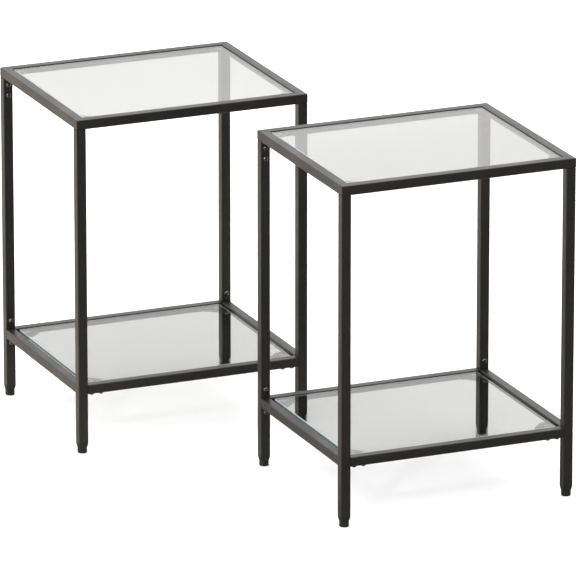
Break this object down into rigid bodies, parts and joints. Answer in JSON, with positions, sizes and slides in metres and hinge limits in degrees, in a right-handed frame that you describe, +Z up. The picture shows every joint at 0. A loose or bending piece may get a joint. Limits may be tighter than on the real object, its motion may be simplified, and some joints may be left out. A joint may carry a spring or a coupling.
{
  "type": "nesting tables",
  "caption": "Matching pair of free-standing side tables in square black steel tube, each with an inset clear glass top, a glass lower shelf and screw-in levelling feet.",
  "frame": {"origin": "middle of the pair's box, on the floor", "axes": "+X to the right along the front rails, +Y from the front towards the back, +Z up"},
  "size_m": [0.645, 0.838, 0.56],
  "materials": {
    "powder_coated_steel": "fine satin black powder coat",
    "clear_glass": "clear float glass with a faint green ground edge",
    "foot_plastic": "moulded black plastic with a fine grain",
    "black_bolt_steel": "black oxide, semi-gloss",
    "clear_pad": "soft translucent pad"
  },
  "bodies": {
    "rear_table": {"rear_top_frame": "powder_coated_steel", "rear_shelf_frame": "powder_coated_steel", "rear_upper_leg_fl": "powder_coated_steel", "rear_lower_leg_fl": "powder_coated_steel", "rear_foot_plug_fl": "foot_plastic", "rear_top_bolt_fl_1": "black_bolt_steel", "rear_top_bolt_fl_2": "black_bolt_steel", "rear_upper_leg_fr": "powder_coated_steel", "rear_lower_leg_fr": "powder_coated_steel", "rear_foot_plug_fr": "foot_plastic", "rear_top_bolt_fr_1": "black_bolt_steel", "rear_top_bolt_fr_2": "black_bolt_steel", "rear_upper_leg_bl": "powder_coated_steel", "rear_lower_leg_bl": "powder_coated_steel", "rear_foot_plug_bl": "foot_plastic", "rear_top_bolt_bl_1": "black_bolt_steel", "rear_top_bolt_bl_2": "black_bolt_steel", "rear_upper_leg_br": "powder_coated_steel", "rear_lower_leg_br": "powder_coated_steel", "rear_foot_plug_br": "foot_plastic", "rear_top_bolt_br_1": "black_bolt_steel", "rear_top_bolt_br_2": "black_bolt_steel"},
    "rear_top_glass": {"rear_top_glass": "clear_glass"},
    "rear_shelf_glass": {"rear_shelf_glass": "clear_glass"},
    "rear_levelling_foot_fl": {"rear_levelling_foot_fl": "foot_plastic"},
    "rear_levelling_foot_fr": {"rear_levelling_foot_fr": "foot_plastic"},
    "rear_levelling_foot_bl": {"rear_levelling_foot_bl": "foot_plastic"},
    "rear_levelling_foot_br": {"rear_levelling_foot_br": "foot_plastic"},
    "front_table": {"front_top_frame": "powder_coated_steel", "front_shelf_frame": "powder_coated_steel", "front_upper_leg_fl": "powder_coated_steel", "front_lower_leg_fl": "powder_coated_steel", "front_foot_plug_fl": "foot_plastic", "front_top_bolt_fl_1": "black_bolt_steel", "front_top_bolt_fl_2": "black_bolt_steel", "front_upper_leg_fr": "powder_coated_steel", "front_lower_leg_fr": "powder_coated_steel", "front_foot_plug_fr": "foot_plastic", "front_top_bolt_fr_1": "black_bolt_steel", "front_top_bolt_fr_2": "black_bolt_steel", "front_upper_leg_bl": "powder_coated_steel", "front_lower_leg_bl": "powder_coated_steel", "front_foot_plug_bl": "foot_plastic", "front_top_bolt_bl_1": "black_bolt_steel", "front_top_bolt_bl_2": "black_bolt_steel", "front_upper_leg_br": "powder_coated_steel", "front_lower_leg_br": "powder_coated_steel", "front_foot_plug_br": "foot_plastic", "front_top_bolt_br_1": "black_bolt_steel", "front_top_bolt_br_2": "black_bolt_steel"},
    "front_top_glass": {"front_top_glass": "clear_glass"},
    "front_shelf_glass": {"front_shelf_glass": "clear_glass"},
    "front_levelling_foot_fl": {"front_levelling_foot_fl": "foot_plastic"},
    "front_levelling_foot_fr": {"front_levelling_foot_fr": "foot_plastic"},
    "front_levelling_foot_bl": {"front_levelling_foot_bl": "foot_plastic"},
    "front_levelling_foot_br": {"front_levelling_foot_br": "foot_plastic"}
  },
  "joints": [
    {"name": "front_table_move", "type": "slide", "parent": "rear_table", "child": "front_table", "axis": [0, -1, 0], "range_m": [-0.13, 0.3]},
    {"name": "rear_top_glass_lift", "type": "slide", "parent": "rear_table", "child": "rear_top_glass", "axis": [0, 0, 1], "range_m": [0, 0.1]},
    {"name": "rear_shelf_glass_lift", "type": "slide", "parent": "rear_table", "child": "rear_shelf_glass", "axis": [0, 0, 1], "range_m": [0, 0.1]},
    {"name": "rear_foot_screw_fl", "type": "slide", "parent": "rear_table", "child": "rear_levelling_foot_fl", "axis": [0, 0, -1], "range_m": [0, 0.008]},
    {"name": "rear_foot_screw_fr", "type": "slide", "parent": "rear_table", "child": "rear_levelling_foot_fr", "axis": [0, 0, -1], "range_m": [0, 0.008]},
    {"name": "rear_foot_screw_bl", "type": "slide", "parent": "rear_table", "child": "rear_levelling_foot_bl", "axis": [0, 0, -1], "range_m": [0, 0.008]},
    {"name": "rear_foot_screw_br", "type": "slide", "parent": "rear_table", "child": "rear_levelling_foot_br", "axis": [0, 0, -1], "range_m": [0, 0.008]},
    {"name": "front_top_glass_lift", "type": "slide", "parent": "front_table", "child": "front_top_glass", "axis": [0, 0, 1], "range_m": [0, 0.1]},
    {"name": "front_shelf_glass_lift", "type": "slide", "parent": "front_table", "child": "front_shelf_glass", "axis": [0, 0, 1], "range_m": [0, 0.1]},
    {"name": "front_foot_screw_fl", "type": "slide", "parent": "front_table", "child": "front_levelling_foot_fl", "axis": [0, 0, -1], "range_m": [0, 0.008]},
    {"name": "front_foot_screw_fr", "type": "slide", "parent": "front_table", "child": "front_levelling_foot_fr", "axis": [0, 0, -1], "range_m": [0, 0.008]},
    {"name": "front_foot_screw_bl", "type": "slide", "parent": "front_table", "child": "front_levelling_foot_bl", "axis": [0, 0, -1], "range_m": [0, 0.008]},
    {"name": "front_foot_screw_br", "type": "slide", "parent": "front_table", "child": "front_levelling_foot_br", "axis": [0, 0, -1], "range_m": [0, 0.008]}
  ]
}
